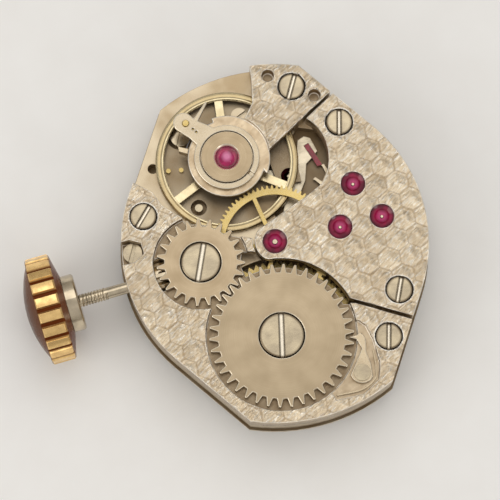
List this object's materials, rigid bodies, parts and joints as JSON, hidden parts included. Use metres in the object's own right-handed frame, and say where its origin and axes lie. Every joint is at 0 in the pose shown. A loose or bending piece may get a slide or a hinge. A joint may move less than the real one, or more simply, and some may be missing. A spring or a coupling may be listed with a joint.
{
  "type": "mechanical watch movement",
  "caption": "Hand-wound mechanical watch movement with a tonneau-like plate, open balance, wheel train under bridges, winding wheels, stem and crown.",
  "frame": {"origin": "centre wheel's axis on the plate's dial seat", "axes": "+Z from the dial seat to the bridges, -X to the winding crown at three o'clock, +Y to twelve o'clock"},
  "size_m": [0.0205, 0.0182, 0.0054],
  "materials": {
    "plate": "warm beige nickel plate, fine satin",
    "bridge": "warm beige nickel plate, brushed honeycomb facets",
    "gilt": "gilt, satin",
    "steel": "polished steel",
    "wheel_steel": "sunburst brushed steel",
    "spring": "hardened spring steel",
    "ruby": "polished synthetic ruby",
    "crown_gold": "polished gold"
  },
  "bodies": {
    "movement": {"balance_cock": "bridge", "balance_cock_screw": "steel", "balance_jewels": "ruby", "barrel_bridge": "bridge", "barrel_bridge_screws": "steel", "cap_jewel_setting": "bridge", "click_screw": "steel", "click_spring": "spring", "crown_wheel_screw": "steel", "hairspring_stud": "gilt", "keyless_screws": "steel", "lower_cap_plate": "plate", "lower_jewels": "ruby", "main_plate": "plate", "pallet_bridge": "plate", "pallet_bridge_screw": "steel", "setting_lever_screw": "steel", "setting_lever_spring": "steel", "train_bridge": "bridge", "train_bridge_screws": "steel", "upper_jewels": "ruby", "yoke_spring": "spring"},
    "winding_pinion": {"winding_pinion": "steel"},
    "stem": {"winding_stem": "steel", "crown_core": "steel", "crown": "crown_gold"},
    "clutch": {"clutch_wheel": "steel"},
    "crown_wheel": {"crown_wheel": "wheel_steel"},
    "winding_arbor": {"barrel_arbor": "steel", "ratchet_wheel": "wheel_steel", "ratchet_screw": "steel", "mainspring": "spring"},
    "click": {"click": "steel"},
    "centre": {"centre_wheel": "gilt", "centre_pinion": "steel", "cannon_pinion": "steel"},
    "barrel": {"barrel_drum": "gilt", "barrel_cover": "gilt"},
    "third": {"third_wheel": "gilt", "third_pinion": "steel"},
    "fourth": {"fourth_wheel": "gilt", "fourth_pinion": "steel"},
    "escape": {"escape_wheel": "steel", "escape_pinion": "steel"},
    "fork": {"pallet_fork": "steel", "pallet_stones": "ruby", "pallet_arbor": "steel"},
    "balance": {"balance_wheel": "gilt", "balance_staff": "steel", "roller": "steel", "impulse_jewel": "ruby", "hairspring": "spring"},
    "regulator": {"regulator": "steel", "regulator_pins": "gilt"},
    "setting_lever": {"setting_lever": "steel"},
    "yoke": {"yoke": "steel"},
    "setting_wheel": {"setting_wheel": "steel"},
    "minute_wheel": {"minute_wheel": "gilt"},
    "hour_wheel": {"hour_wheel": "gilt"}
  },
  "joints": [
    {"name": "centre_turn", "type": "hinge", "parent": "movement", "child": "centre", "pos_m": [0, 0, 0.002], "axis": [0, 0, 1], "continuous": true},
    {"name": "barrel_turn", "type": "hinge", "parent": "movement", "child": "barrel", "pos_m": [-0.00098, -0.0046, 0.001], "axis": [0, 0, 1], "continuous": true},
    {"name": "third_turn", "type": "hinge", "parent": "movement", "child": "third", "pos_m": [0.0033, -0.00019, 0.0015], "axis": [0, 0, 1], "continuous": true},
    {"name": "fourth_turn", "type": "hinge", "parent": "movement", "child": "fourth", "pos_m": [0.00544, -0.00024, 0.0015], "axis": [0, 0, 1], "continuous": true},
    {"name": "escape_turn", "type": "hinge", "parent": "movement", "child": "escape", "pos_m": [0.00452, 0.00172, 0.0015], "axis": [0, 0, 1], "continuous": true},
    {"name": "minute_wheel_turn", "type": "hinge", "parent": "movement", "child": "minute_wheel", "pos_m": [-0.00132, 0.0015, 0.0003], "axis": [0, 0, 1], "continuous": true},
    {"name": "setting_wheel_turn", "type": "hinge", "parent": "movement", "child": "setting_wheel", "pos_m": [-0.003, 0, 0.0005], "axis": [0, 0, 1], "continuous": true},
    {"name": "hour_wheel_turn", "type": "hinge", "parent": "movement", "child": "hour_wheel", "pos_m": [0, 0, 0.0001], "axis": [0, 0, 1], "continuous": true},
    {"name": "crown_turn", "type": "hinge", "parent": "movement", "child": "winding_pinion", "pos_m": [-0.00585, 0, 0.0015], "axis": [1, 0, 0], "continuous": true},
    {"name": "crown_pull", "type": "slide", "parent": "winding_pinion", "child": "stem", "axis": [-1, 0, 0], "range_m": [0, 0.0007]},
    {"name": "clutch_slide", "type": "slide", "parent": "winding_pinion", "child": "clutch", "axis": [1, 0, 0], "range_m": [0, 0.0006]},
    {"name": "crown_wheel_turn", "type": "hinge", "parent": "movement", "child": "crown_wheel", "pos_m": [-0.00381, 0, 0.0027], "axis": [0, 0, 1], "continuous": true},
    {"name": "ratchet_turn", "type": "hinge", "parent": "movement", "child": "winding_arbor", "pos_m": [-0.00098, -0.0046, 0.0027], "axis": [0, 0, 1], "continuous": true},
    {"name": "click_swing", "type": "hinge", "parent": "movement", "child": "click", "pos_m": [0.0023, -0.00745, 0.0028], "axis": [0, 0, 1], "range_deg": [-12, 0], "stiffness_Nm_per_rad": 0.000001},
    {"name": "fork_swing", "type": "hinge", "parent": "movement", "child": "fork", "pos_m": [0.00168, 0.00325, 0.0011], "axis": [0, 0, 1], "range_deg": [-5, 5]},
    {"name": "balance_swing", "type": "hinge", "parent": "movement", "child": "balance", "pos_m": [-0.00113, 0.00473, 0.0017], "axis": [0, 0, 1], "range_deg": [-270, 270], "stiffness_Nm_per_rad": 0.00000014},
    {"name": "regulator_turn", "type": "hinge", "parent": "movement", "child": "regulator", "pos_m": [-0.00113, 0.00473, 0.0028], "axis": [0, 0, 1], "range_deg": [-25, 25]},
    {"name": "setting_lever_swing", "type": "hinge", "parent": "movement", "child": "setting_lever", "pos_m": [-0.00692, 0.00147, 0.0007], "axis": [0, 0, 1], "range_deg": [-34, 0]},
    {"name": "yoke_swing", "type": "hinge", "parent": "movement", "child": "yoke", "pos_m": [-0.0044, 0.0019, 0.0007], "axis": [0, 0, 1], "range_deg": [0, 18]}
  ],
  "couplings": [
    {"joint": "barrel_turn", "follows": "centre_turn", "ratio": -0.2},
    {"joint": "third_turn", "follows": "centre_turn", "ratio": -7.5},
    {"joint": "fourth_turn", "follows": "centre_turn", "ratio": 60},
    {"joint": "escape_turn", "follows": "centre_turn", "ratio": -600},
    {"joint": "minute_wheel_turn", "follows": "centre_turn", "ratio": -0.33333},
    {"joint": "setting_wheel_turn", "follows": "centre_turn", "ratio": 0.66667},
    {"joint": "hour_wheel_turn", "follows": "centre_turn", "ratio": 0.083333},
    {"joint": "crown_wheel_turn", "follows": "crown_turn", "ratio": 0.52174},
    {"joint": "ratchet_turn", "follows": "crown_turn", "ratio": -0.31579},
    {"joint": "clutch_slide", "follows": "crown_pull", "ratio": 0.85714},
    {"joint": "setting_lever_swing", "follows": "crown_pull", "rad_per_m": -817.8},
    {"joint": "yoke_swing", "follows": "crown_pull", "rad_per_m": 430}
  ]
}
